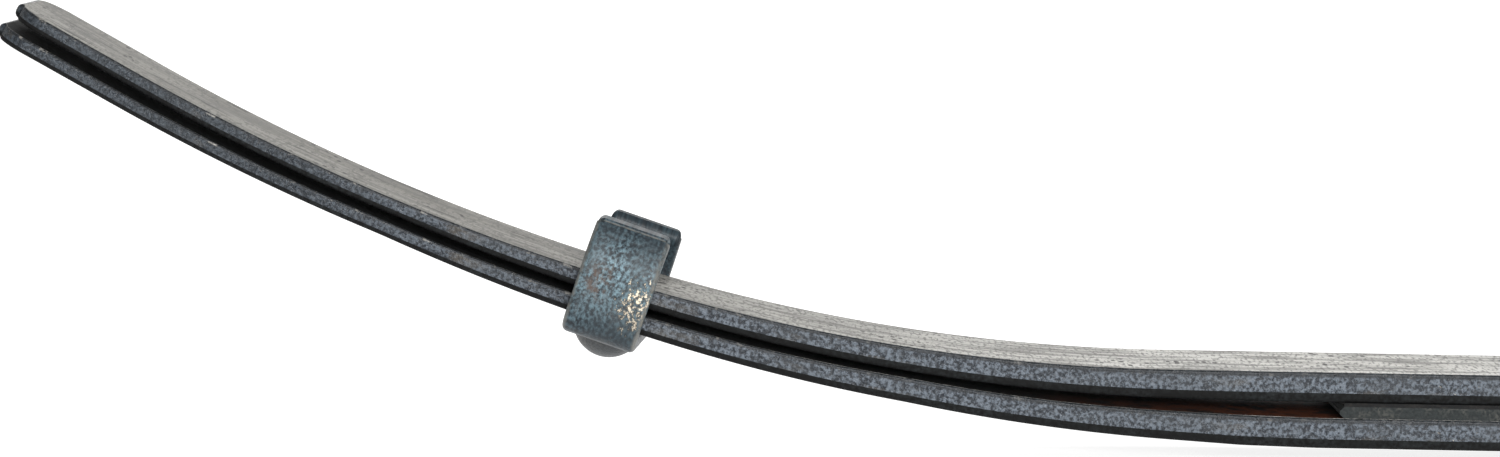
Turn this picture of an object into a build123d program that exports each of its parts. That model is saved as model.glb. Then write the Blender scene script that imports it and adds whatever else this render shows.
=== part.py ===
from build123d import *
import os
from math import asin, atan2, cos, degrees, sin

# Two-leaf tapered slipper spring. Millimetres and degrees, +Z up, leaves along X, width along Y.
# The origin is at the centre bolt's axis, on the underside of the lower leaf.
os.makedirs("parts", exist_ok=True)

# Leaves
LEAF_WIDTH = 70.0
SEAT_THICKNESS = 14.5
TIP_THICKNESS = 7.0
TAPER_START = 145.0  # from the centre, where full thickness ends
TAPER_END = 545.0  # from the centre, where tip thickness begins
UPPER_HALF_LENGTH = 720.5
LOWER_HALF_LENGTH = 723.0
TIP_CORNER_RADIUS = 14.0
TOP_EDGE_ROUND = 1.0
UNDER_EDGE_ROUND = 2.5

# Camber of the upper leaf's top face: flat, inner bend, outer bend, straight to the tip
FLAT_HALF_LENGTH = 178.0
INNER_BEND_RADIUS = 920.0
INNER_BEND_END = 400.0
OUTER_BEND_RADIUS = 1100.0
OUTER_BEND_END = 664.0

# Gap between the leaves, measured square to the faces
GAP_FLAT_END = 110.0
GAP_WAIST_AT = 300.0
GAP_AT_WAIST = 3.1
GAP_AT_TIP = 4.9
FACE_STATIONS = 26

# Centre pack
SPACER_THICKNESS = 5.5
SPACER_HALF_LENGTH = 100.0
SPACER_END_CHAMFER = 2.0
LINER_THICKNESS = 1.8
LINER_END_SETBACK = 2.0
PACK_SIDE_SETBACK = 1.0
BOLT_RADIUS = 6.0
BOLT_CLEARANCE = 0.25
BOLT_HEAD_RADIUS = 10.0
BOLT_HEAD_BELOW_SEAT = 9.5
BOLT_HEAD_CHAMFER = 1.5
SPOT_FACE_DEPTH = 0.5
SPOT_FACE_CLEARANCE = 2.0
NUT_ACROSS_FLATS = 19.0
NUT_HEIGHT = 10.0
NUT_CHAMFER = 1.2
BOLT_STAND_OUT = 5.0
THREAD_CLEARANCE = 0.05

# Bending joints
HINGE_AT = 280.0
HINGE_CLEARANCE = 0.5

# Rebound clips
CLIP_AT = 437.0
CLIP_STRAP_WIDTH = 36.0
CLIP_STRAP_THICKNESS = 9.0
CLIP_STRAP_ROUND = 2.5
CLIP_SIDE_CLEARANCE = 2.5
CLIP_BASE_CLEARANCE = 0.1
CLIP_BEND_INNER_RADIUS = 3.5
CLIP_CURL_RADIUS = 44.0
FRONT_CURL_ANGLE = 33.0
REAR_CURL_ANGLE = 27.0
CLIP_SKEW = 4.0
RIVET_RADIUS = 6.0
RIVET_CLEARANCE = 0.1
RIVET_HEAD_RADIUS = 16.0
RIVET_HEAD_HEIGHT = 11.0
RIVET_END_RECESS = 0.5

SEAT_GAP = SPACER_THICKNESS + LINER_THICKNESS
STACK_HEIGHT = 2 * SEAT_THICKNESS + SEAT_GAP
BIG = 400.0  # reach of cutting blocks past the leaf


def between(x, x0, x1):
    """How far x has gone from x0 to x1, from 0 to 1."""
    return min(max((x - x0) / (x1 - x0), 0.0), 1.0)


def leaf_thickness(x):
    share = between(x, TAPER_START, TAPER_END)
    return SEAT_THICKNESS + (TIP_THICKNESS - SEAT_THICKNESS) * share


def leaf_gap(x):
    if x < GAP_WAIST_AT:
        return SEAT_GAP + (GAP_AT_WAIST - SEAT_GAP) * between(x, GAP_FLAT_END, GAP_WAIST_AT)
    return GAP_AT_WAIST + (GAP_AT_TIP - GAP_AT_WAIST) * between(x, GAP_WAIST_AT, UPPER_HALF_LENGTH)


def camber(x):
    """Height and slope angle in radians of the upper leaf's top face, x from the centre."""
    inner = asin((INNER_BEND_END - FLAT_HALF_LENGTH) / INNER_BEND_RADIUS)
    outer_run = (OUTER_BEND_END - INNER_BEND_END) / OUTER_BEND_RADIUS
    outer = asin(sin(inner) + outer_run)
    height = STACK_HEIGHT
    if x <= FLAT_HALF_LENGTH:
        return height, 0.0
    angle = asin((min(x, INNER_BEND_END) - FLAT_HALF_LENGTH) / INNER_BEND_RADIUS)
    height += INNER_BEND_RADIUS * (1 - cos(angle))
    if x > INNER_BEND_END:
        angle = asin(sin(inner) + (min(x, OUTER_BEND_END) - INNER_BEND_END) / OUTER_BEND_RADIUS)
        height += OUTER_BEND_RADIUS * (cos(inner) - cos(angle))
    if x > OUTER_BEND_END:
        height += (x - OUTER_BEND_END) * sin(outer) / cos(outer)
    return height, angle


def at_depth(x, depth):
    """Point at that depth square below the upper leaf's top face."""
    height, angle = camber(x)
    return x + depth * sin(angle), height - depth * cos(angle)


def upper_top(x):
    return at_depth(x, 0.0)


def upper_under(x):
    return at_depth(x, leaf_thickness(x))


def lower_top(x):
    return at_depth(x, leaf_thickness(x) + leaf_gap(x))


def lower_under(x):
    return at_depth(x, 2 * leaf_thickness(x) + leaf_gap(x))


def slope_of(face, x):
    """Slope angle in degrees of a leaf's face at station x."""
    x0, z0 = face(x - 1)
    x1, z1 = face(x + 1)
    return degrees(atan2(z1 - z0, x1 - x0))


def face_line(face, length):
    """One face of a leaf in side view, from the centre to the tip."""
    start = face(GAP_FLAT_END)
    step = (length - GAP_FLAT_END) / FACE_STATIONS
    stations = [face(GAP_FLAT_END + step * i) for i in range(FACE_STATIONS + 1)]
    end_run = Vector(*stations[-1]) - Vector(*stations[-2])
    return Line(face(0), start) + Spline(*stations, tangents=[(1, 0), end_run])


def side_view(top, under, length):
    """A leaf's outline in side view, drawn in X and Z, from tip to tip."""
    right = face_line(top, length) + face_line(under, length) + Line(top(length), under(length))
    return make_face(right + mirror(right, about=Plane.YZ))


def face_at(solid, face, x):
    """The solid's face that holds that point of a leaf's top or under face."""
    px, pz = face(x)
    return min(solid.faces(), key=lambda f: f.distance_to(Vector(px, 0, pz)))


def whole_leaf(top, under, length):
    """A leaf from tip to tip, its corners rounded in plan, its top rim lightly and its under rim more."""
    leaf = extrude(Plane.XZ * side_view(top, under, length), amount=LEAF_WIDTH / 2, both=True)
    for end in (leaf.faces().sort_by(Axis.X)[0], leaf.faces().sort_by(Axis.X)[-1]):
        leaf = fillet(end.edges().filter_by(lambda e: e.length < LEAF_WIDTH / 2), TIP_CORNER_RADIUS)
    for face, radius in ((top, TOP_EDGE_ROUND), (under, UNDER_EDGE_ROUND)):
        side = LEAF_WIDTH / 2 - 0.1
        rims = face_at(leaf, face, 0).edges().filter_by(lambda e: abs((e @ 0.5).Y) > side)
        leaf = fillet(rims, radius)
    return leaf


def hinge_place(top, under):
    """Centre of a leaf's bending joint, square to the leaf, on the right side."""
    x0, z0 = top(HINGE_AT)
    x1, z1 = under(HINGE_AT)
    tilt = (slope_of(top, HINGE_AT) + slope_of(under, HINGE_AT)) / 2
    return Pos((x0 + x1) / 2, 0, (z0 + z1) / 2) * Rot(0, -tilt, 0)


def arm_region(place, barrel_radius):
    """Everything outboard of a bending joint, with a round barrel about its axis."""
    outboard = Pos(BIG, 0, 0) * Box(2 * BIG, 2 * LEAF_WIDTH, 2 * BIG)
    return place * (outboard + Rot(90, 0, 0) * Cylinder(barrel_radius, 2 * LEAF_WIDTH))


def leaf_arm(leaf, top, under):
    """The right arm of a leaf, which turns on its barrel."""
    return leaf & arm_region(hinge_place(top, under), leaf_thickness(HINGE_AT) / 2)


def leaf_seat(leaf, top, under):
    """The middle of a leaf, with a round socket for each arm and a hole for the centre bolt."""
    socket = arm_region(hinge_place(top, under), leaf_thickness(HINGE_AT) / 2 + HINGE_CLEARANCE)
    seat = leaf - socket - mirror(socket, about=Plane.YZ)
    return seat - Cylinder(BOLT_RADIUS + BOLT_CLEARANCE, BIG)


def spot_face(radius, height):
    """A shallow round cut centred on the bolt, half above and half below that height."""
    return Pos(0, 0, height) * Cylinder(radius + SPOT_FACE_CLEARANCE, 2 * SPOT_FACE_DEPTH)


def clip_place():
    """Frame of the right clip: X along the leaf, Z square to it, origin on the lower leaf's underside."""
    x, z = lower_under(CLIP_AT)
    return Pos(x, 0, z) * Rot(0, -slope_of(lower_under, CLIP_AT), 0)


def strap_half(curl_angle, side):
    """Middle line of half a clip, from the rivet up one arm, in the clip's own Y and Z."""
    bend = CLIP_BEND_INNER_RADIUS + CLIP_STRAP_THICKNESS / 2
    arm_y = LEAF_WIDTH / 2 + CLIP_SIDE_CLEARANCE + CLIP_STRAP_THICKNESS / 2
    base_z = -CLIP_BASE_CLEARANCE - CLIP_STRAP_THICKNESS / 2
    stack = 2 * leaf_thickness(CLIP_AT) + leaf_gap(CLIP_AT)
    corner = Vector(arm_y - bend, base_z)
    rise = Vector(arm_y, base_z + bend)
    shoulder = Vector(arm_y, stack)
    line = Line((0, base_z), corner)
    line += CenterArc(corner + Vector(0, bend), bend, -90, 90)
    line += Line(rise, shoulder)
    line += CenterArc(shoulder - Vector(CLIP_CURL_RADIUS, 0), CLIP_CURL_RADIUS, 0, curl_angle)
    return line if side > 0 else mirror(line, about=Plane.YZ)


def strap_bar(curl_angle, side):
    """Half a clip as a round-edged bar swept along its middle line."""
    path = Wire((Plane.YZ * strap_half(curl_angle, side)).edges())
    bar = RectangleRounded(CLIP_STRAP_WIDTH, CLIP_STRAP_THICKNESS, CLIP_STRAP_ROUND)
    base_z = -CLIP_BASE_CLEARANCE - CLIP_STRAP_THICKNESS / 2
    start = Plane(origin=(0, 0, base_z), x_dir=(1, 0, 0), z_dir=(0, side, 0))
    return sweep(start * bar, path=path)


def clip_strap():
    """The U-shaped strap that holds the leaves together sideways and in rebound, on the right."""
    strap = strap_bar(FRONT_CURL_ANGLE, -1) + strap_bar(REAR_CURL_ANGLE, 1)
    strap -= Cylinder(RIVET_RADIUS + RIVET_CLEARANCE, BIG)
    return clip_place() * Rot(0, 0, CLIP_SKEW) * strap


def rivet_hole():
    return clip_place() * Cylinder(RIVET_RADIUS + RIVET_CLEARANCE, 4 * TIP_THICKNESS)


def clip_rivet():
    """Domed rivet through the strap and the lower leaf, closed flush in the leaf, on the right."""
    head_top = -CLIP_BASE_CLEARANCE - CLIP_STRAP_THICKNESS
    ball = (RIVET_HEAD_RADIUS**2 + RIVET_HEAD_HEIGHT**2) / (2 * RIVET_HEAD_HEIGHT)
    dome = Pos(0, 0, head_top - RIVET_HEAD_HEIGHT + ball) * Sphere(ball)
    dome &= Pos(0, 0, head_top - ball) * Box(4 * ball, 4 * ball, 2 * ball)
    shank_top = leaf_thickness(CLIP_AT) - RIVET_END_RECESS
    shank = Pos(0, 0, (head_top + shank_top) / 2) * Cylinder(RIVET_RADIUS, shank_top - head_top)
    return clip_place() * (dome + shank)


def pack_plate(half_length, thickness, bottom, end_chamfer):
    """A plate of the centre pack, clamped between the leaves round the bolt."""
    plate = Pos(0, 0, bottom + thickness / 2) * Box(
        2 * half_length, LEAF_WIDTH - 2 * PACK_SIDE_SETBACK, thickness
    )
    if end_chamfer:
        ends = plate.faces().filter_by(Axis.X).edges().filter_by(Axis.Y)
        plate = chamfer(ends, end_chamfer)
    return plate - Cylinder(BOLT_RADIUS + BOLT_CLEARANCE, BIG)


def centre_bolt():
    """Cheese-headed centre bolt; its head stands below the seat and locates the spring on the axle."""
    head_height = BOLT_HEAD_BELOW_SEAT + SPOT_FACE_DEPTH
    head = Pos(0, 0, SPOT_FACE_DEPTH - head_height / 2) * Cylinder(BOLT_HEAD_RADIUS, head_height)
    head = chamfer(head.edges().sort_by(Axis.Z)[0], BOLT_HEAD_CHAMFER)
    top = STACK_HEIGHT - SPOT_FACE_DEPTH + NUT_HEIGHT + BOLT_STAND_OUT
    shank = Pos(0, 0, top / 2) * Cylinder(BOLT_RADIUS, top)
    shank = chamfer(shank.edges().sort_by(Axis.Z)[-1], BOLT_RADIUS / 6)
    return head + shank


def centre_nut():
    """Hexagon nut seated in the upper leaf's spot face."""
    nut = extrude(RegularPolygon(NUT_ACROSS_FLATS / 2, 6, major_radius=False), amount=NUT_HEIGHT)
    corner_radius = NUT_ACROSS_FLATS / 3**0.5
    turned = chamfer(
        (Pos(0, 0, NUT_HEIGHT / 2) * Cylinder(corner_radius, NUT_HEIGHT)).edges().filter_by(GeomType.CIRCLE),
        NUT_CHAMFER,
    )
    nut = (nut & turned) - Cylinder(BOLT_RADIUS + THREAD_CLEARANCE, BIG)
    return Pos(0, 0, STACK_HEIGHT - SPOT_FACE_DEPTH) * nut


def save(name, shape):
    export_step(shape, f"parts/{name}.step")


def save_pair(name, right):
    save(f"{name}_right", right)
    save(f"{name}_left", mirror(right, about=Plane.YZ))


upper = whole_leaf(upper_top, upper_under, UPPER_HALF_LENGTH)
upper_seat = leaf_seat(upper, upper_top, upper_under)
upper_seat -= spot_face(NUT_ACROSS_FLATS / 3**0.5, STACK_HEIGHT)
upper_arm = leaf_arm(upper, upper_top, upper_under)

lower = whole_leaf(lower_top, lower_under, LOWER_HALF_LENGTH)
lower_seat = leaf_seat(lower, lower_top, lower_under)
lower_seat -= spot_face(BOLT_HEAD_RADIUS, 0.0)
lower_arm = leaf_arm(lower, lower_top, lower_under) - rivet_hole()

save("upper_leaf_seat", upper_seat)
save("lower_leaf_seat", lower_seat)
save_pair("upper_leaf_arm", upper_arm)
save_pair("lower_leaf_arm", lower_arm)
save("centre_spacer", pack_plate(SPACER_HALF_LENGTH, SPACER_THICKNESS, SEAT_THICKNESS, SPACER_END_CHAMFER))
save("spacer_liner", pack_plate(
    SPACER_HALF_LENGTH - LINER_END_SETBACK, LINER_THICKNESS, SEAT_THICKNESS + SPACER_THICKNESS, 0.0
))
save("centre_bolt", centre_bolt())
save("centre_nut", centre_nut())
save_pair("clip_strap", clip_strap())
save_pair("clip_rivet", clip_rivet())

for name, (top, under) in {"upper": (upper_top, upper_under), "lower": (lower_top, lower_under)}.items():
    pivot = hinge_place(top, under).position
    print(f"{name} arm joint at x {pivot.X:.2f}, z {pivot.Z:.2f}")
rise = upper_top(UPPER_HALF_LENGTH)[1] - STACK_HEIGHT
print(f"camber {rise:.1f}, stack height {STACK_HEIGHT:.1f}")
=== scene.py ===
import logging
import math
from collections.abc import Sequence
from dataclasses import dataclass, field
from enum import Enum

import bmesh
import bpy
from mathutils import Matrix, Vector


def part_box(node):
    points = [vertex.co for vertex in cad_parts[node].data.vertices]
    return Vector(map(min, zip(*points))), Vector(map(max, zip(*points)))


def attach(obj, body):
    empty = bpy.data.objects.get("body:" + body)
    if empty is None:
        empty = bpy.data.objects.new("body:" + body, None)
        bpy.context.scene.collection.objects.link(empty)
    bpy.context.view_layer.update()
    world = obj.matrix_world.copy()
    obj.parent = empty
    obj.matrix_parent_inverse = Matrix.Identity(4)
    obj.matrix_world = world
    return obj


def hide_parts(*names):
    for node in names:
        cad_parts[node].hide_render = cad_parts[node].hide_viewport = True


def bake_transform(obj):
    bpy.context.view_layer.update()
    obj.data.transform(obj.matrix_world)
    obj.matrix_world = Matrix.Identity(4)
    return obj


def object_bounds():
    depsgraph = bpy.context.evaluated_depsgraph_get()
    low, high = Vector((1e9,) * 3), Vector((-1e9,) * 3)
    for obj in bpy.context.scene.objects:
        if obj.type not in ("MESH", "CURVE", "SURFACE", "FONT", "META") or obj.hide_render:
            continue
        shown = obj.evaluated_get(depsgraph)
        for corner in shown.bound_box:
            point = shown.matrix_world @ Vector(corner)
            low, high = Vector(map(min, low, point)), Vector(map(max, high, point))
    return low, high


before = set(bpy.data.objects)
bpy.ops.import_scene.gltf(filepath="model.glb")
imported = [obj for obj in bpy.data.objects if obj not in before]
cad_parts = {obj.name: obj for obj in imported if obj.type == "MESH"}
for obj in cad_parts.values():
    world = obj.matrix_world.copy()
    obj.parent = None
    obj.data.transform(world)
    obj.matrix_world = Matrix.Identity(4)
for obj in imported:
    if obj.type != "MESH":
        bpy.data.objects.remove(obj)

CAD_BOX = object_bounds()
LOG = logging.getLogger("leaf_spring")

MM = 0.001
LEAF_SHIFT = 2.0  # moves the pattern on the right half of a leaf, so that the halves differ
CLIP_SHIFT = 3.0  # the same for the right clip
Value = bpy.types.NodeSocket | float | int | bool | tuple | str | None
Profile = Sequence[tuple[float, float]]


class Side(Enum):
    """The spring's two halves, by the sign of X."""

    LEFT = -1
    RIGHT = 1

    @property
    def word(self) -> str:
        """The side's name in the frame."""
        return self.name.lower()

    def mirror(self) -> Matrix:
        """The matrix that takes a right-hand mesh to this side."""
        return Matrix.Diagonal((self.value, 1, 1, 1))


class Level(Enum):
    """The two leaves of the pack."""

    UPPER = "upper"
    LOWER = "lower"


class Attribute(Enum):
    """Attributes that the finishes read."""

    REST = "rest"
    FACE = "face"
    CAP = "cap"


# ---------------------------------------------------------------- node building


class Net:
    """Adds nodes to a tree by short calls that return sockets."""

    def __init__(self, tree: bpy.types.NodeTree) -> None:
        """Args: tree is the node tree to add to."""
        self.tree = tree
        self.column = 0

    def plug(self, target: bpy.types.NodeSocket, value: Value) -> None:
        """Links a socket to an input, or sets the input's own value.

        Args:
            target: The input socket.
            value: Another node's output, or a plain value, or None to leave it.
        """
        if isinstance(value, bpy.types.NodeSocket):
            self.tree.links.new(value, target)
        elif value is not None:
            target.default_value = value

    def node(self, kind: str, *values: Value, **settings: object) -> bpy.types.Node:
        """Adds one node.

        Args:
            kind: The node's type name.
            values: What goes into its enabled inputs, in their order.
            settings: Properties of the node.

        Returns:
            The new node.
        """
        made = self.tree.nodes.new(kind)
        self.column += 1
        made.location = (self.column * 40, -(self.column % 12) * 60)
        for name, setting in settings.items():
            setattr(made, name, setting)
        inputs = [socket for socket in made.inputs if socket.enabled]
        for socket, value in zip(inputs, values):
            self.plug(socket, value)
        return made

    def out(self, kind: str, *values: Value, **settings: object) -> bpy.types.NodeSocket:
        """Adds one node and returns its first enabled output."""
        made = self.node(kind, *values, **settings)
        return next(socket for socket in made.outputs if socket.enabled)

    def math(self, operation: str, a: Value, b: Value = None, clamp: bool = False) -> bpy.types.NodeSocket:
        """One scalar operation; clamp keeps the answer from 0 to 1."""
        return self.out("ShaderNodeMath", a, b, operation=operation, use_clamp=clamp)

    def times(self, a: Value, b: Value, clamp: bool = False) -> bpy.types.NodeSocket:
        """The product of two numbers."""
        return self.math("MULTIPLY", a, b, clamp)

    def plus(self, a: Value, b: Value) -> bpy.types.NodeSocket:
        """The sum of two numbers."""
        return self.math("ADD", a, b)

    def minus(self, a: Value, b: Value, clamp: bool = False) -> bpy.types.NodeSocket:
        """One number less another."""
        return self.math("SUBTRACT", a, b, clamp)

    def vector(self, operation: str, a: Value, b: Value = None, scale: Value = None) -> bpy.types.NodeSocket:
        """One vector operation, such as ADD, SCALE or CROSS_PRODUCT."""
        made = self.node("ShaderNodeVectorMath", a, operation=operation)
        self.plug(made.inputs[1], b)
        if scale is not None:
            self.plug(made.inputs["Scale"], scale)
        return next(socket for socket in made.outputs if socket.enabled)

    def combine(self, x: Value, y: Value, z: Value) -> bpy.types.NodeSocket:
        """A vector from three numbers."""
        return self.out("ShaderNodeCombineXYZ", x, y, z)

    def split(self, vector: Value) -> tuple[bpy.types.NodeSocket, ...]:
        """A vector's three numbers."""
        return tuple(self.node("ShaderNodeSeparateXYZ", vector).outputs)

    def span(self, value: Value, low: float, high: float, out_low: float = 0.0, out_high: float = 1.0,
             kind: str = "LINEAR") -> bpy.types.NodeSocket:
        """A number taken from one range to another, and held at both ends."""
        return self.out("ShaderNodeMapRange", value, low, high, out_low, out_high,
                        interpolation_type=kind, clamp=True)


class Finish(Net):
    """Builds a Principled material out of named layers."""

    def __init__(self, name: str) -> None:
        """Args: name is the material's name."""
        self.material = bpy.data.materials.new(name)
        self.material.use_nodes = True
        super().__init__(self.material.node_tree)
        self.shader = self.tree.nodes["Principled BSDF"]

    def attribute(self, which: Attribute) -> bpy.types.NodeSocket:
        """A stored attribute as a vector or a number."""
        made = self.node("ShaderNodeAttribute", attribute_name=which.value)
        return made.outputs["Vector" if which is Attribute.REST else "Fac"]

    def place(self) -> bpy.types.NodeSocket:
        """The object coordinates, in metres."""
        return self.node("ShaderNodeTexCoord").outputs["Object"]

    def stretch(self, vector: Value, scale: tuple, shift: tuple = (0, 0, 0)) -> bpy.types.NodeSocket:
        """A vector scaled and shifted."""
        made = self.node("ShaderNodeMapping", vector)
        made.inputs["Scale"].default_value = scale
        made.inputs["Location"].default_value = shift
        return made.outputs[0]

    def noise(self, vector: Value, scale: float, detail: float = 3.0,
              rough: float = 0.55) -> bpy.types.NodeSocket:
        """Grey noise from 0 to 1, with its grain size set by scale per metre."""
        made = self.node("ShaderNodeTexNoise")
        for name, value in (("Vector", vector), ("Scale", scale), ("Detail", detail), ("Roughness", rough)):
            self.plug(made.inputs[name], value)
        return made.outputs["Fac"]

    def cells(self, vector: Value, scale: float) -> bpy.types.NodeSocket:
        """Distance to the nearest of many scattered points."""
        made = self.node("ShaderNodeTexVoronoi")
        self.plug(made.inputs["Vector"], vector)
        self.plug(made.inputs["Scale"], scale)
        return made.outputs["Distance"]

    def mix(self, share: Value, a: Value, b: Value) -> bpy.types.NodeSocket:
        """Two colours mixed."""
        made = self.node("ShaderNodeMix", data_type="RGBA")
        self.plug(made.inputs[0], share)
        self.plug(made.inputs[6], a)
        self.plug(made.inputs[7], b)
        return made.outputs[2]

    def blend(self, share: Value, a: Value, b: Value) -> bpy.types.NodeSocket:
        """Two numbers mixed."""
        return self.out("ShaderNodeMix", share, a, b, data_type="FLOAT")

    def bump(self, layers: Sequence[tuple[Value, float, float]]) -> bpy.types.NodeSocket:
        """Stacked bumps.

        Args:
            layers: For each bump its height, its strength and its depth in metres.

        Returns:
            The bent normal.
        """
        normal = None
        for height, strength, depth in layers:
            made = self.node("ShaderNodeBump")
            made.inputs["Strength"].default_value = strength
            made.inputs["Distance"].default_value = depth
            self.plug(made.inputs["Height"], height)
            self.plug(made.inputs["Normal"], normal)
            normal = made.outputs[0]
        return normal

    def done(self, colour: Value, rough: Value, normal: Value = None, **fixed: float) -> bpy.types.Material:
        """Connects the layers to the shader.

        Args:
            colour: The base colour.
            rough: The roughness.
            normal: The bent normal, if there is one.
            fixed: Plain values of other inputs, with _ for each space in their names.

        Returns:
            The finished material.
        """
        self.plug(self.shader.inputs["Base Color"], colour)
        self.plug(self.shader.inputs["Roughness"], rough)
        self.plug(self.shader.inputs["Normal"], normal)
        for name, value in fixed.items():
            self.shader.inputs[name.replace("_", " ")].default_value = value
        return self.material


def rgb(red: float, green: float, blue: float) -> tuple[float, float, float, float]:
    """A linear colour with full alpha."""
    return red, green, blue, 1.0


# ---------------------------------------------------------------- finishes


@dataclass(frozen=True)
class LeafPaint:
    """Blue-black paint over pitted, rolled spring steel, dusty where it faces up."""

    name: str
    base: tuple = rgb(0.110, 0.130, 0.155)
    deep: tuple = rgb(0.008, 0.011, 0.016)
    film_seat: tuple = rgb(0.70, 0.69, 0.655)
    film_tip: tuple = rgb(0.190, 0.182, 0.157)
    fleck: tuple = rgb(0.55, 0.50, 0.42)

    def along(self, f: Finish, rest: Value) -> bpy.types.NodeSocket:
        """Distance from the centre bolt on either half."""
        return f.math("MODULO", f.split(rest)[0], LEAF_SHIFT)

    def edge_colour(self, f: Finish, rest: Value, skin: Value, along: Value) -> bpy.types.NodeSocket:
        """Colour of the rolled edge, blotched, and darkened towards the tip by painted shade.

        Args:
            f: The finish that is being built.
            rest: The unbent coordinates.
            skin: Fine grain of the paint.
            along: Distance from the centre bolt.

        Returns:
            The colour.
        """
        patches = f.noise(f.stretch(rest, (16, 60, 60)), 1.0, 4, 0.55)
        colour = f.mix(f.span(skin, 0.42, 0.62), self.deep, self.base)
        colour = f.mix(f.times(f.span(patches, 0.45, 0.7), 0.45), colour, rgb(0.056, 0.062, 0.067))
        # Painted shade: darkens the edge towards the tip, in place of the key light falling off along the
        # arm.
        shade = f.span(along, 0.44, 0.62, 0.0, 0.6)
        colour = f.mix(shade, colour, rgb(0.010, 0.014, 0.018))
        grime = f.span(f.noise(f.stretch(rest, (30, 110, 110), (4, 4, 4)), 1.0, 4, 0.6), 0.58, 0.72)
        return f.mix(f.times(grime, 0.55), colour, rgb(0.085, 0.072, 0.055))

    def film_colour(self, f: Finish, rest: Value, along: Value, streaks: Value) -> bpy.types.NodeSocket:
        """Colour of the dusty film on the top face, with stains and lengthwise streaks.

        Args:
            f: The finish that is being built.
            rest: The unbent coordinates.
            along: Distance from the centre bolt.
            streaks: Lengthwise streaks.

        Returns:
            The colour.
        """
        film = f.mix(f.span(along, 0.20, 0.50), self.film_seat, self.film_tip)
        drift = f.noise(f.stretch(rest, (7, 26, 26), (2, 5, 1)), 1.0, 4, 0.6)
        film = f.mix(f.span(drift, 0.35, 0.68, 0.0, 0.34), film, rgb(0.70, 0.68, 0.63))
        film = f.mix(f.span(streaks, 0.56, 0.40, 0.0, 0.75), film, rgb(0.085, 0.080, 0.068))
        speckle = f.noise(f.stretch(rest, (620, 150, 150)), 1.0, 2, 0.5)
        film = f.mix(f.span(speckle, 0.50, 0.36, 0.0, 0.7), film, rgb(0.10, 0.095, 0.085))
        stain = f.noise(f.stretch(rest, (34, 120, 60), (9, 2, 2)), 1.0, 5, 0.62)
        where = f.span(along, 0.36, 0.48)
        share = f.times(f.span(stain, 0.56, 0.65, 0.0, 0.88), where)
        return f.mix(share, film, rgb(0.035, 0.032, 0.026))

    def make(self) -> bpy.types.Material:
        """Returns: the leaf's material, which follows the leaf as it bends."""
        f = Finish(self.name)
        rest = f.attribute(Attribute.REST)
        side = f.attribute(Attribute.FACE)
        cap = f.attribute(Attribute.CAP)
        along = self.along(f, rest)
        flat = f.span(cap, 0.30, 0.05)
        up = f.times(f.span(side, 0.962, 0.992, kind="SMOOTHSTEP"), flat)
        skin = f.noise(rest, 620, 3, 0.6)
        swell = f.noise(rest, 240, 3, 0.5)
        streaks = f.noise(f.stretch(rest, (22, 170, 120)), 1.0, 5, 0.62)
        colour = f.mix(up, self.edge_colour(f, rest, skin, along), self.film_colour(f, rest, along, streaks))
        pits = f.span(f.cells(f.stretch(rest, (210, 95, 95)), 1.0), 0.30, 0.20)
        pit_where = f.span(f.noise(f.stretch(rest, (18, 40, 40), (7, 2, 0)), 1.0, 3), 0.50, 0.60)
        pit = f.times(f.times(pits, pit_where), up)
        colour = f.mix(f.times(pit, 0.9), colour, rgb(0.022, 0.020, 0.018))
        # Painted shade: a dark band along the upper rounded corner of the edge; the worn patches laid over it
        # are real wear.
        rim = f.times(f.span(side, 0.60, 0.72), f.span(side, 0.985, 0.955))
        worn = f.span(f.noise(f.stretch(rest, (210, 300, 300), (3, 1, 4)), 1.0, 3, 0.6), 0.60, 0.68)
        worn = f.times(worn, f.span(along, 0.30, 0.60, 0.25, 0.9))
        colour = f.mix(f.times(rim, 0.85), colour, rgb(0.010, 0.012, 0.014))
        colour = f.mix(f.times(worn, rim), colour, rgb(0.24, 0.23, 0.21))
        flecks = f.span(f.noise(f.stretch(rest, (380, 520, 520), (3, 1, 4)), 1.0, 3, 0.6), 0.70, 0.74)
        fleck_where = f.span(f.noise(f.stretch(rest, (16, 50, 50), (1, 9, 3)), 1.0, 2), 0.56, 0.64)
        colour = f.mix(f.times(flecks, fleck_where), colour, self.fleck)
        rough = f.blend(up, f.span(swell, 0.3, 0.7, 0.22, 0.38), f.span(streaks, 0.3, 0.7, 0.50, 0.68))
        normal = f.bump((
            (f.times(streaks, up), 0.35, 0.0012),
            (swell, 0.35, 0.0008),
            (f.times(skin, f.span(up, 0, 1, 1, 0.4)), 0.9, 0.0011),
            (f.times(pit, -1), 0.6, 0.0008),
        ))
        return f.done(colour, rough, normal, Specular_IOR_Level=0.28, Coat_Weight=0.08, Coat_Roughness=0.2)


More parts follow.
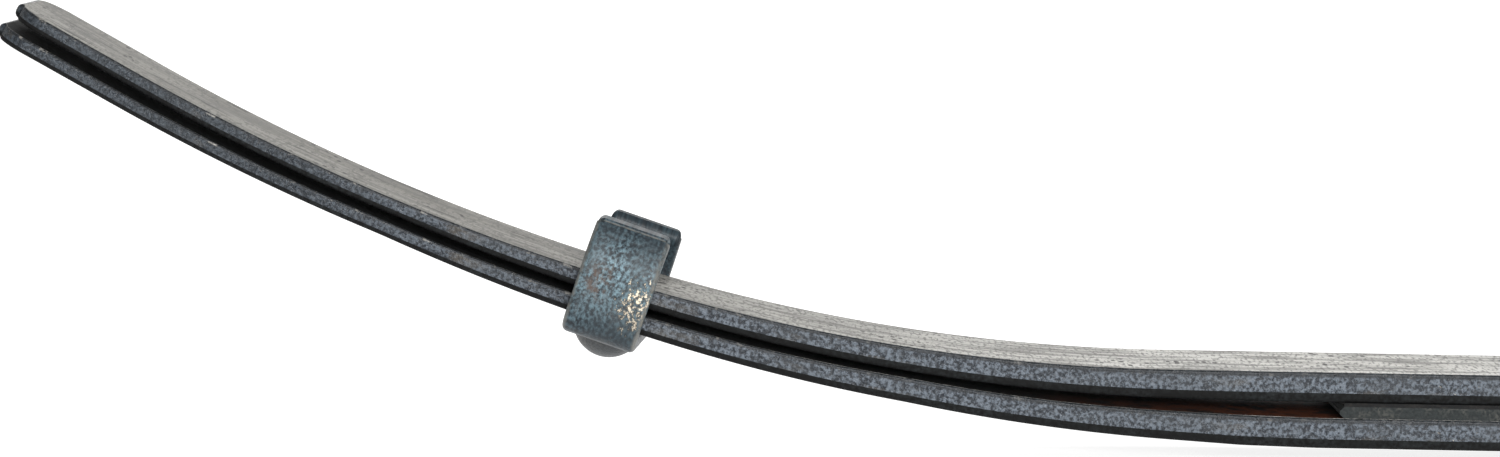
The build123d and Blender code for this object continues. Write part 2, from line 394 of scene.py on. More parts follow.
@dataclass(frozen=True)
class ShadePaint:
    """Painted shade: near-black matt colour on the faces that look down or into the gap between the leaves,
    with rust in the gap when rusty.
    """

    name: str
    rusty: bool = False
    dark: tuple = rgb(0.0045, 0.0045, 0.0045)
    lighter: tuple = rgb(0.020, 0.023, 0.024)
    rust: tuple = rgb(0.085, 0.026, 0.011)

    def make(self) -> bpy.types.Material:
        """Returns: the material."""
        f = Finish(self.name)
        rest = f.attribute(Attribute.REST)
        skin = f.noise(rest, 500, 4, 0.6)
        patches = f.noise(f.stretch(rest, (18, 60, 60)), 1.0, 3, 0.55)
        share = f.times(f.span(skin, 0.4, 0.7), f.span(patches, 0.35, 0.65))
        # Painted shade: near-black, a little lighter in random patches.
        colour = f.mix(share, self.dark, self.lighter)
        if self.rusty:
            along = f.math("MODULO", f.split(rest)[0], LEAF_SHIFT)
            near = f.times(f.span(along, 0.085, 0.105), f.span(along, 0.26, 0.14))
            near = f.times(near, f.span(f.attribute(Attribute.FACE), 0.5, 0.9))
            blots = f.span(f.noise(rest, 75, 4, 0.65), 0.38, 0.56)
            colour = f.mix(f.times(blots, near), colour, self.rust)
        rough = f.span(patches, 0.3, 0.7, 0.62, 0.85)
        return f.done(colour, rough, f.bump(((skin, 0.5, 0.0005),)), Specular_IOR_Level=0.12)


@dataclass(frozen=True)
class ClipPaint:
    """Smoother blue-black paint, chipped to its primer in one patch and rubbed brown in another."""

    name: str = "clip_paint"
    base: tuple = rgb(0.18, 0.285, 0.335)
    deep: tuple = rgb(0.010, 0.015, 0.020)
    primer: tuple = rgb(0.66, 0.53, 0.36)
    pale: tuple = rgb(0.84, 0.78, 0.66)
    rub: tuple = rgb(0.085, 0.058, 0.045)
    chip_at: tuple = (0.033, -0.014, 0.0)
    chip_reach: float = 0.024
    rub_at: tuple = (0.027, 0.008, 0.0)
    rub_reach: float = 0.013

    def spot(self, f: Finish, rest: Value, centre: tuple, reach: float) -> bpy.types.NodeSocket:
        """1 near a point of the strap, and 0 past its reach."""
        offset = f.vector("SUBTRACT", rest, centre)
        offset = f.vector("MULTIPLY", offset, (1.0, 1.3, 0.0))
        made = f.node("ShaderNodeVectorMath", offset, operation="LENGTH")
        return f.span(made.outputs["Value"], reach, reach * 0.2, kind="SMOOTHSTEP")

    def make(self) -> bpy.types.Material:
        """Returns: the strap's material, with its patterns laid along the bar."""
        f = Finish(self.name)
        rest = f.attribute(Attribute.REST)
        face = f.attribute(Attribute.FACE)
        cap = f.attribute(Attribute.CAP)
        shifted, across, depth = f.split(rest)
        distance = f.math("MODULO", shifted, CLIP_SHIFT)
        local = f.combine(distance, across, depth)
        outer = f.span(face, 0.3, 0.8)
        skin = f.noise(rest, 620, 4, 0.6)
        swell = f.noise(rest, 170, 3, 0.5)
        cloud = f.noise(f.stretch(rest, (30, 60, 60)), 1.0, 4, 0.6)
        colour = f.mix(f.span(skin, 0.42, 0.64), self.deep, self.base)
        colour = f.mix(f.span(cloud, 0.42, 0.66, 0.0, 0.6), colour, rgb(0.050, 0.066, 0.074))
        scuff = f.noise(f.stretch(rest, (60, 420, 60), (4, 4, 0)), 1.0, 4, 0.6)
        colour = f.mix(f.span(scuff, 0.60, 0.72, 0.0, 0.5), colour, rgb(0.13, 0.125, 0.11))
        worn = f.times(self.spot(f, local, self.rub_at, self.rub_reach),
                       f.span(f.noise(rest, 330, 4), 0.40, 0.60))
        colour = f.mix(f.times(worn, 0.85), colour, self.rub)
        chip_noise = f.noise(f.stretch(rest, (420, 560, 420)), 1.0, 5, 0.72)
        bias = f.times(self.spot(f, local, self.chip_at, self.chip_reach), 0.20)
        chip_noise = f.plus(chip_noise, bias)
        chips = f.times(f.span(chip_noise, 0.725, 0.740), outer)
        bare = f.times(f.span(chip_noise, 0.66, 0.725), outer)
        colour = f.mix(f.times(bare, 0.7), colour, rgb(0.12, 0.095, 0.065))
        colour = f.mix(chips, colour, f.mix(f.noise(rest, 700, 2), self.primer, self.pale))
        # Painted shade: the front arm is darkened at its curled top and from its lower part on, leaving a lit
        # band across its middle.
        colour = f.mix(f.span(distance, 0.020, 0.003, 0.0, 0.72), colour, self.deep)
        colour = f.mix(f.span(distance, 0.030, 0.050, 0.0, 0.82), colour, self.deep)
        # Lighter lines along the strap's long edges and round its ends: partly worn paint, partly a painted
        # highlight for the rounded edges' reflection.
        side = f.math("ABSOLUTE", across)
        rim = f.math("MAXIMUM", f.times(f.span(side, 0.0158, 0.0170), f.span(face, 0.2, 0.5)),
                     f.times(f.span(cap, 0.05, 0.2), f.span(cap, 0.55, 0.45)))
        rim = f.times(rim, f.span(f.noise(rest, 260, 3), 0.38, 0.56, 0.25, 0.9))
        colour = f.mix(rim, colour, rgb(0.13, 0.13, 0.12))
        colour = f.mix(f.span(cap, 0.5, 0.6, 0.0, 0.75), colour, rgb(0.070, 0.073, 0.071))
        rough = f.blend(chips, f.span(swell, 0.3, 0.7, 0.34, 0.48), 0.7)
        normal = f.bump((
            (swell, 0.35, 0.0010),
            (skin, 0.55, 0.0006),
            (f.times(chips, -1), 0.7, 0.0004),
        ))
        return f.done(colour, rough, normal, Specular_IOR_Level=0.26, Coat_Weight=0.06, Coat_Roughness=0.25)


@dataclass(frozen=True)
class HardwarePaint:
    """Paint on small steel pieces, worn on raised places, from object coordinates."""

    name: str
    base: tuple
    worn: tuple
    grain: float = 900.0
    gloss: float = 0.35
    shine: float = 0.5

    def make(self) -> bpy.types.Material:
        """Returns: the material."""
        f = Finish(self.name)
        place = f.place()
        skin = f.noise(place, self.grain, 4, 0.6)
        swell = f.noise(place, self.grain / 5, 3, 0.5)
        share = f.times(f.span(swell, 0.5, 0.66), f.span(skin, 0.4, 0.6))
        colour = f.mix(f.times(share, 0.6), self.base, self.worn)
        colour = f.mix(f.span(skin, 0.55, 0.3, 0, 0.7), colour, rgb(0.008, 0.009, 0.010))
        rough = f.span(swell, 0.3, 0.7, self.gloss, self.gloss + 0.2)
        normal = f.bump(((swell, 0.4, 0.0006), (skin, 0.6, 0.0005)))
        return f.done(colour, rough, normal, Specular_IOR_Level=self.shine)


@dataclass(frozen=True)
class StudioFloor:
    """Plain pale matt sheet that the spring lies on, lit through from below."""

    name: str = "pale_sheet"
    tone: tuple = rgb(0.50, 0.50, 0.495)
    glow: float = 0.80

    def make(self) -> bpy.types.Material:
        """Returns: the material."""
        f = Finish(self.name)
        mottle = f.noise(f.place(), 3.0, 2)
        colour = f.mix(mottle, self.tone, rgb(0.52, 0.52, 0.515))
        return f.done(colour, 0.9, Emission_Color=rgb(1, 1, 1), Emission_Strength=self.glow)


# ---------------------------------------------------------------- leaf geometry


@dataclass(frozen=True)
class Camber:
    """The curve and thickness that both leaves share, in metres from the centre bolt."""

    seat_thickness: float = 14.5 * MM
    tip_thickness: float = 7 * MM
    taper_start: float = 145 * MM
    taper_end: float = 545 * MM
    flat_half: float = 178 * MM
    inner_radius: float = 920 * MM
    inner_end: float = 400 * MM
    outer_radius: float = 1100 * MM
    outer_end: float = 664 * MM
    seat_gap: float = 7.3 * MM
    waist_gap: float = 3.1 * MM
    tip_gap: float = 4.9 * MM
    gap_flat_end: float = 110 * MM
    waist_at: float = 300 * MM
    gap_end: float = 720.5 * MM

    @staticmethod
    def share(x: float, start: float, end: float) -> float:
        """How far x has gone from start to end, from 0 to 1."""
        return min(max((x - start) / (end - start), 0.0), 1.0)

    def thickness(self, x: float) -> float:
        """Leaf thickness at a station."""
        share = self.share(x, self.taper_start, self.taper_end)
        return self.seat_thickness + (self.tip_thickness - self.seat_thickness) * share

    def gap(self, x: float) -> float:
        """Gap between the leaves at a station."""
        if x < self.waist_at:
            share = self.share(x, self.gap_flat_end, self.waist_at)
            return self.seat_gap + (self.waist_gap - self.seat_gap) * share
        share = self.share(x, self.waist_at, self.gap_end)
        return self.waist_gap + (self.tip_gap - self.waist_gap) * share

    def stack(self) -> float:
        """Height of both leaves and the pack between them at the seat."""
        return 2 * self.seat_thickness + self.seat_gap

    def top(self, x: float) -> tuple[float, float]:
        """Height and slope angle of the upper leaf's top face.

        Args:
            x: Station, from the centre bolt.

        Returns:
            The height above the seat's underside, and the slope in radians.
        """
        height = self.stack()
        if x <= self.flat_half:
            return height, 0.0
        inner = math.asin((self.inner_end - self.flat_half) / self.inner_radius)
        angle = math.asin((min(x, self.inner_end) - self.flat_half) / self.inner_radius)
        height += self.inner_radius * (1 - math.cos(angle))
        if x > self.inner_end:
            run = (min(x, self.outer_end) - self.inner_end) / self.outer_radius
            angle = math.asin(math.sin(inner) + run)
            height += self.outer_radius * (math.cos(inner) - math.cos(angle))
        if x > self.outer_end:
            height += (x - self.outer_end) * math.tan(angle)
        return height, angle

    def depth(self, x: float, level: Level, share: float) -> float:
        """Depth below the upper leaf's top face.

        Args:
            x: Station.
            level: Which leaf.
            share: 0 at that leaf's top face and 1 at its under face.

        Returns:
            The depth, square to the top face.
        """
        start = 0.0 if level is Level.UPPER else self.thickness(x) + self.gap(x)
        return start + share * self.thickness(x)

    def point(self, x: float, level: Level, share: float) -> Vector:
        """A point of a leaf's lengthwise middle section, on the right side."""
        height, angle = self.top(x)
        depth = self.depth(x, level, share)
        return Vector((x + depth * math.sin(angle), 0, height - depth * math.cos(angle)))

    def line(self, length: float, level: Level, share: float, rows: int) -> list[Vector]:
        """Points from the centre to the tip at one depth in a leaf."""
        return [self.point(length * i / rows, level, share) for i in range(rows + 1)]


def corner(centre: tuple[float, float], radii: tuple[float, float], start: float, steps: int) -> Profile:
    """A quarter of an ellipse, anticlockwise.

    Args:
        centre: Its centre.
        radii: Its two radii.
        start: The angle it starts at, in degrees.
        steps: How many segments it has.

    Returns:
        Its points, both ends included.
    """
    angles = [math.radians(start + 90 * i / steps) for i in range(steps + 1)]
    return [(centre[0] + radii[0] * math.cos(a), centre[1] + radii[1] * math.sin(a)) for a in angles]


def bar_section(width: float, thickness: float, upper: tuple[float, float], under: tuple[float, float],
                crown: float, steps: int = 6, flats: int = 10) -> Profile:
    """Outline of a rolled bar, anticlockwise from the middle of its under face.

    Args:
        width: Across the bar.
        thickness: Through the bar.
        upper: Radii of the two upper corners, across and through.
        under: Radii of the two under corners.
        crown: How far the sides stand out at their middle.
        steps: Segments in each corner.
        flats: Segments in half of a wide face.

    Returns:
        The outline's points.
    """
    half, rise = width / 2, thickness / 2
    right = [(half - under[0], -rise)]
    right += corner((half - under[0], under[1] - rise), under, -90, steps)[1:]
    right += [(half + crown, (under[1] - upper[1]) / 2)]
    right += corner((half - upper[0], rise - upper[1]), upper, 0, steps)
    start = [(right[0][0] * i / flats, -rise) for i in range(flats)]
    end = [(right[-1][0] * (flats - i) / flats, rise) for i in range(1, flats + 1)]
    right = start + right + end
    left = [(-x, y) for x, y in reversed(right[1:-1])]
    return right + left


class MeshMaker:
    """Small meshes made from points, and the last steps that every piece takes."""

    SHARP_ANGLE = 32.0  # degrees past which an edge shades as a corner

    @staticmethod
    def wire(name: str, points: Sequence[Vector], closed: bool = False) -> bpy.types.Object:
        """A chain of edges, in the scene."""
        edges = [(i, i + 1) for i in range(len(points) - 1)]
        if closed:
            edges.append((len(points) - 1, 0))
        mesh = bpy.data.meshes.new(name)
        mesh.from_pydata([tuple(p) for p in points], edges, [])
        made = bpy.data.objects.new(name, mesh)
        bpy.context.scene.collection.objects.link(made)
        return made

    @staticmethod
    def piece(name: str, mesh: bpy.types.Mesh, place: Matrix) -> bpy.types.Object:
        """Puts a finished mesh in its place as a piece of the spring.

        Args:
            name: The piece's name.
            mesh: Its mesh, in its own frame.
            place: Where that frame is.

        Returns:
            The piece, at the origin with its place in its mesh.
        """
        mesh.transform(place)
        mesh.name = name
        shell = bmesh.new()
        shell.from_mesh(mesh)
        bmesh.ops.remove_doubles(shell, verts=shell.verts, dist=1e-6)
        bmesh.ops.recalc_face_normals(shell, faces=shell.faces)
        shell.to_mesh(mesh)
        shell.free()
        mesh.shade_smooth()
        mesh.set_sharp_from_angle(angle=math.radians(MeshMaker.SHARP_ANGLE))
        made = bpy.data.objects.new(name, mesh)
        bpy.context.scene.collection.objects.link(made)
        return made

    @staticmethod
    def lathe(profile: Profile, segments: int) -> bpy.types.Mesh:
        """A closed solid of revolution about Z.

        Args:
            profile: Radius and height of each ring, from one end of the axis to the other.
            segments: How many sides each ring has.

        Returns:
            The mesh.
        """
        shell = bmesh.new()
        rings = []
        for radius, height in profile:
            if radius == 0:
                rings.append([shell.verts.new((0, 0, height))])
                continue
            angles = [math.tau * i / segments for i in range(segments)]
            ring = [(radius * math.cos(a), radius * math.sin(a), height) for a in angles]
            rings.append([shell.verts.new(place) for place in ring])
        for low, high in zip(rings, rings[1:]):
            for i in range(segments):
                j = (i + 1) % segments
                ring = [low[i % len(low)], low[j % len(low)], high[j % len(high)], high[i % len(high)]]
                shell.faces.new(list(dict.fromkeys(ring)))
        mesh = bpy.data.meshes.new("turned")
        shell.to_mesh(mesh)
        shell.free()
        return mesh


class GeometryTree(Net):
    """A Geometry Nodes tree with named inputs."""

    def __init__(self, name: str) -> None:
        """Args: name is the tree's name."""
        tree = bpy.data.node_groups.new(name, "GeometryNodeTree")
        super().__init__(tree)
        tree.interface.new_socket("Geometry", in_out="INPUT", socket_type="NodeSocketGeometry")
        tree.interface.new_socket("Geometry", in_out="OUTPUT", socket_type="NodeSocketGeometry")
        self.source = tree.nodes.new("NodeGroupInput")
        self.sink = tree.nodes.new("NodeGroupOutput")

    def inlet(self, name: str, kind: str = "Float") -> bpy.types.NodeSocket:
        """Adds a named input and returns its socket inside the tree."""
        self.tree.interface.new_socket(name, in_out="INPUT", socket_type=f"NodeSocket{kind}")
        return self.source.outputs[name]

    def finish(self, shape: Value, material: Value, chosen: Value = None, second: Value = None) -> None:
        """Ends the tree in Realize Instances and Set Material.

        Args:
            shape: The finished shape.
            material: Its material.
            chosen: Which faces take the second material, if any do.
            second: The second material.
        """
        shape = self.out("GeometryNodeRealizeInstances", shape)
        for paint, selection in ((material, None), (second, chosen)):
            if paint is not None:
                dressed = self.node("GeometryNodeSetMaterial", shape)
                self.plug(dressed.inputs["Selection"], selection)
                self.plug(dressed.inputs["Material"], paint)
                shape = dressed.outputs[0]
        self.plug(self.sink.inputs[0], shape)

    def apply(self, carrier: bpy.types.Object, values: dict[str, object]) -> bpy.types.Mesh:
        """Runs the tree on an object.

        Args:
            carrier: The object that goes in; it is removed.
            values: A value for each named input.

        Returns:
            The result as a plain mesh.
        """
        modifier = carrier.modifiers.new("nodes", "NODES")
        modifier.node_group = self.tree
        sockets = {s.name: s.identifier for s in self.tree.interface.items_tree if s.in_out == "INPUT"}
        for name, value in values.items():
            modifier[sockets[name]] = value
        bpy.context.view_layer.update()
        graph = bpy.context.evaluated_depsgraph_get()
        mesh = bpy.data.meshes.new_from_object(carrier.evaluated_get(graph), depsgraph=graph)
        carrier.modifiers.remove(modifier)
        bpy.data.objects.remove(carrier)
        return mesh


class BarTree(GeometryTree):
    """A tapering bar that follows a line; an end with no corner radius is cut square."""

    CAP_ROWS = 12.0  # rows of the grid that close each end
    EASE = 0.86  # how far the other rows gather towards the ends
    RIPPLE_SCALE = 42.0  # waves per metre along the rolled sides
    COVERED_FROM = 0.985  # share of the half thickness above which a top face is covered

    def __init__(self) -> None:
        """Builds the tree."""
        super().__init__("rolled_bar")
        root, tip = self.inlet("Root Section", "Object"), self.inlet("Tip Section", "Object")
        rows, around = self.inlet("Rows", "Int"), self.inlet("Points Around", "Int")
        across, width = self.inlet("Across", "Vector"), self.inlet("Width")
        root_thickness, tip_thickness = self.inlet("Root Thickness"), self.inlet("Tip Thickness")
        taper_start, taper_end = self.inlet("Taper Start"), self.inlet("Taper End")
        start_corner, end_corner = self.inlet("Start Corner"), self.inlet("End Corner")
        end_round, wave = self.inlet("End Round"), self.inlet("Waviness")
        pattern, covered = self.inlet("Pattern Shift"), self.inlet("Top Covered", "Bool")
        material, shade = self.inlet("Material", "Material"), self.inlet("Shade Material", "Material")
        shade_from = self.inlet("Shade From")

        grid = self.node("GeometryNodeMeshGrid", 1.0, 1.0, rows, self.plus(around, 1))
        u, v, _ = self.split(grid.outputs["UV Map"])
        edge = self.math("DIVIDE", self.CAP_ROWS, rows)
        body = self.math("DIVIDE", self.minus(u, edge),
                         self.minus(1.0, self.times(edge, 2.0)), clamp=True)
        ease = self.times(self.math("SINE", self.times(body, math.tau)), self.EASE / math.tau)
        body = self.minus(body, ease)
        end_cap = self.math("DIVIDE", self.minus(u, self.minus(1.0, edge)), edge, clamp=True)
        start_cap = self.math("DIVIDE", self.minus(edge, u), edge, clamp=True)
        share = self.math("MAXIMUM", end_cap, start_cap)
        at_start = self.times(self.math("CEIL", start_cap), self.math("GREATER_THAN", start_corner, 0.0))
        way = self.minus(self.math("CEIL", end_cap), at_start)
        rounded = self.math("ABSOLUTE", way)

        line = self.out("GeometryNodeMeshToCurve", self.source.outputs["Geometry"])
        length = self.out("GeometryNodeCurveLength", line)
        along = self.times(body, length)
        sample = self.tree.nodes.new("GeometryNodeSampleCurve")
        sample.mode = "LENGTH"
        self.plug(sample.inputs["Curves"], line)
        self.plug(sample.inputs["Length"], along)
        centre, heading = sample.outputs["Position"], sample.outputs["Tangent"]
        heading = self.vector("NORMALIZE", heading)
        upward = self.vector("NORMALIZE", self.vector("CROSS_PRODUCT", heading, across))

        index = self.math("MODULO", self.math("ROUND", self.times(v, around)), around)
        taper = self.out("ShaderNodeMapRange", along, taper_start, taper_end, 0.0, 1.0)
        mixed = self.node("ShaderNodeMix", data_type="VECTOR")
        self.plug(mixed.inputs[0], taper)
        self.plug(mixed.inputs[4], self.sample(root, index))
        self.plug(mixed.inputs[5], self.sample(tip, index))
        side, rise, _ = self.split(mixed.outputs[1])
        thickness = self.out("ShaderNodeMix", taper, root_thickness, tip_thickness, data_type="FLOAT")
        half_thick = self.times(thickness, 0.5)
        half_wide = self.times(width, 0.5)

        plan = self.math("MINIMUM", self.plan_share(along, start_corner, half_wide),
                         self.plan_share(self.minus(length, along), end_corner, half_wide))
        turn = self.times(self.times(share, 2.0, clamp=True), math.pi / 2)
        reach = self.times(end_round, self.math("SINE", turn))
        inset = self.times(end_round, self.minus(1.0, self.math("COSINE", turn)))
        inset = self.times(inset, rounded)
        shrink = self.minus(2.0, self.times(share, 2.0), clamp=True)
        wide = self.minus(1.0, self.math("DIVIDE", inset, self.times(half_wide, plan)))
        tall = self.minus(1.0, self.math("DIVIDE", inset, half_thick))
        side = self.times(self.times(side, plan), self.times(wide, shrink))
        rise = self.times(rise, self.times(tall, shrink))
        reach = self.times(reach, way)

        rest = self.combine(self.plus(self.plus(along, reach), pattern), side, rise)
        ripple = self.tree.nodes.new("ShaderNodeTexNoise")
        self.plug(ripple.inputs["Vector"], rest)
        self.plug(ripple.inputs["Scale"], self.RIPPLE_SCALE)
        self.plug(ripple.inputs["Detail"], 2.0)
        swell = self.times(self.minus(ripple.outputs["Fac"], 0.5), wave)
        swell = self.minus(0.0, self.math("ABSOLUTE", swell))
        side = self.plus(side, self.times(self.math("SIGN", side), swell))
        spot = self.vector("ADD", centre, self.vector("SCALE", heading, scale=reach))
        spot = self.vector("ADD", spot, self.vector("SCALE", across, scale=side))
        spot = self.vector("ADD", spot, self.vector("SCALE", upward, scale=rise))
        shape = self.node("GeometryNodeSetPosition", grid.outputs["Mesh"])
        self.plug(shape.inputs["Position"], spot)
        shape = shape.outputs[0]
        shape = self.store(shape, Attribute.REST, rest, "FLOAT_VECTOR")
        face = self.math("DIVIDE", rise, half_thick)
        shape = self.store(shape, Attribute.FACE, face, "FLOAT")
        shape = self.store(shape, Attribute.CAP, self.times(share, rounded), "FLOAT")
        merged = self.tree.nodes.new("GeometryNodeMergeByDistance")
        self.plug(merged.inputs["Geometry"], shape)
        self.plug(merged.inputs["Distance"], 2e-6)
        reader = self.node("GeometryNodeInputNamedAttribute", Attribute.FACE.value, data_type="FLOAT")
        stored = reader.outputs[0]
        # Faces that look down below Shade From, and a covered top face, take the second material: painted
        # shade.
        hidden = self.math("MAXIMUM", self.math("LESS_THAN", stored, shade_from),
                           self.times(self.math("GREATER_THAN", stored, self.COVERED_FROM), covered))
        self.finish(merged.outputs[0], material, hidden, shade)

    def sample(self, section: Value, index: Value) -> bpy.types.NodeSocket:
        """One point of a section object."""
        info = self.node("GeometryNodeObjectInfo")
        self.plug(info.inputs["Object"], section)
        made = self.tree.nodes.new("GeometryNodeSampleIndex")
        made.data_type = "FLOAT_VECTOR"
        self.plug(made.inputs["Geometry"], info.outputs["Geometry"])
        value = next(s for s in made.inputs if s.name == "Value" and s.enabled)
        self.plug(value, self.out("GeometryNodeInputPosition"))
        self.plug(made.inputs["Index"], index)
        return next(s for s in made.outputs if s.enabled)

    def plan_share(self, distance: Value, radius: Value, half_wide: Value) -> bpy.types.NodeSocket:
        """Share of the width left at that distance from an end whose corners are rounded."""
        short = self.math("MAXIMUM", self.minus(radius, distance), 0.0)
        square = self.minus(self.times(radius, radius), self.times(short, short))
        root = self.math("SQRT", self.math("MAXIMUM", square, 0.0))
        left = self.plus(self.minus(half_wide, radius), root)
        return self.math("DIVIDE", left, half_wide)

    def store(self, shape: Value, which: Attribute, value: Value, kind: str) -> bpy.types.NodeSocket:
        """Stores an attribute on the points."""
        made = self.tree.nodes.new("GeometryNodeStoreNamedAttribute")
        made.data_type = kind
        made.domain = "POINT"
        self.plug(made.inputs["Geometry"], shape)
        self.plug(made.inputs["Name"], which.value)
        self.plug(next(s for s in made.inputs if s.name == "Value" and s.enabled), value)
        return made.outputs[0]


class RidgeTree(GeometryTree):
    """A row of equal thread ridges round a shank."""

    def __init__(self) -> None:
        """Builds the tree."""
        super().__init__("thread_ridges")
        radius, pitch, ridge_radius = self.inlet("Radius"), self.inlet("Pitch"), self.inlet("Ridge Radius")
        count, base = self.inlet("Count", "Int"), self.inlet("Base Height")
        material = self.inlet("Material", "Material")
        ring = self.node("GeometryNodeCurvePrimitiveCircle", mode="RADIUS")
        self.plug(ring.inputs["Resolution"], 48)
        self.plug(ring.inputs["Radius"], radius)
        ridge = self.node("GeometryNodeCurvePrimitiveCircle", mode="RADIUS")
        self.plug(ridge.inputs["Resolution"], 8)
        self.plug(ridge.inputs["Radius"], ridge_radius)
        tube = self.node("GeometryNodeCurveToMesh")
        self.plug(tube.inputs["Curve"], ring.outputs["Curve"])
        self.plug(tube.inputs["Profile Curve"], ridge.outputs["Curve"])
        row = self.node("GeometryNodeMeshLine", mode="OFFSET")
        self.plug(row.inputs["Count"], count)
        self.plug(row.inputs["Start Location"], self.combine(0.0, 0.0, base))
        self.plug(row.inputs["Offset"], self.combine(0.0, 0.0, pitch))
        placed = self.node("GeometryNodeInstanceOnPoints")
        self.plug(placed.inputs["Points"], row.outputs["Mesh"])
        self.plug(placed.inputs["Instance"], tube.outputs["Mesh"])
        self.finish(placed.outputs["Instances"], material)


# ---------------------------------------------------------------- sub-assemblies


@dataclass
class LeafPack:
    """The two tapered leaves, each made as two halves."""

    camber: Camber
    bar: BarTree
    width: float = 70 * MM
    lengths: dict = field(default_factory=lambda: {Level.UPPER: 720.5 * MM, Level.LOWER: 723 * MM})
    tip_corner: float = 14 * MM
    root_upper: tuple = (1.3 * MM, 1.3 * MM)
    root_under: tuple = (2.6 * MM, 4.6 * MM)
    tip_upper: tuple = (0.9 * MM, 0.9 * MM)
    tip_under: tuple = (1.8 * MM, 2.2 * MM)
    end_round: float = 3.0 * MM
    shade_from: float = -0.37
    waviness: float = 0.5 * MM
    line_rows: int = 240
    rows: int = 230
    bend_from: float = 225 * MM
    bend_to: float = 338 * MM

    def section(self, thickness: float, name: str, upper: tuple[float, float],
                under: tuple[float, float]) -> tuple[bpy.types.Object, int]:
        """A leaf's section as a wire object, and how many points it has."""
        outline = bar_section(self.width - 0.6 * MM, thickness, upper, under, 0.3 * MM)
        wire = MeshMaker.wire(name, [Vector((x, y, 0)) for x, y in outline], closed=True)
        return wire, len(outline)

    def half(self, level: Level, side: Side, paints: Sequence[bpy.types.Material]) -> bpy.types.Object:
        """One half of one leaf.

        Args:
            level: Which leaf.
            side: Which half.
            paints: Its paint, and the painted-shade material of its faces that look down or into the gap.

        Returns:
            The piece.
        """
        root, around = self.section(self.camber.seat_thickness, "root", self.root_upper, self.root_under)
        tip, _ = self.section(self.camber.tip_thickness, "tip", self.tip_upper, self.tip_under)
        length = self.lengths[level]
        length -= self.end_round * math.cos(self.camber.top(length)[1])
        line = MeshMaker.wire("line", self.camber.line(length, level, 0.5, self.line_rows))
        mesh = self.bar.apply(line, {
            "Root Section": root, "Tip Section": tip, "Rows": self.rows, "Points Around": around,
            "Across": (0.0, 1.0, 0.0), "Width": self.width,
            "Root Thickness": self.camber.seat_thickness, "Tip Thickness": self.camber.tip_thickness,
            "Taper Start": self.camber.taper_start, "Taper End": self.camber.taper_end + 12 * MM,
            "Start Corner": 0.0, "End Corner": self.tip_corner, "End Round": self.end_round,
            "Waviness": self.waviness, "Pattern Shift": 0.0 if side is Side.LEFT else LEAF_SHIFT,
            "Top Covered": level is Level.LOWER, "Material": paints[0], "Shade Material": paints[1],
            "Shade From": self.shade_from,
        })
        for wire in (root, tip):
            bpy.data.objects.remove(wire)
        return MeshMaker.piece(f"{level.value}_leaf_{side.word}_half", mesh, side.mirror())

    def build(self) -> list[bpy.types.Object]:
        """Makes the four halves and hides the leaf parts that they replace."""
        made = []
        for level in Level:
            # The second material is painted shade for the faces that look down or into the gap.
            paints = (LeafPaint(f"{level.value}_leaf_paint").make(),
                      ShadePaint(f"{level.value}_leaf_shade", rusty=level is Level.LOWER).make())
            for side in Side:
                piece = self.half(level, side, paints)
                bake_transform(piece)
                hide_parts(f"{level.value}_leaf_seat", f"{level.value}_leaf_arm_{side.word}")
                made.append(piece)
        return made


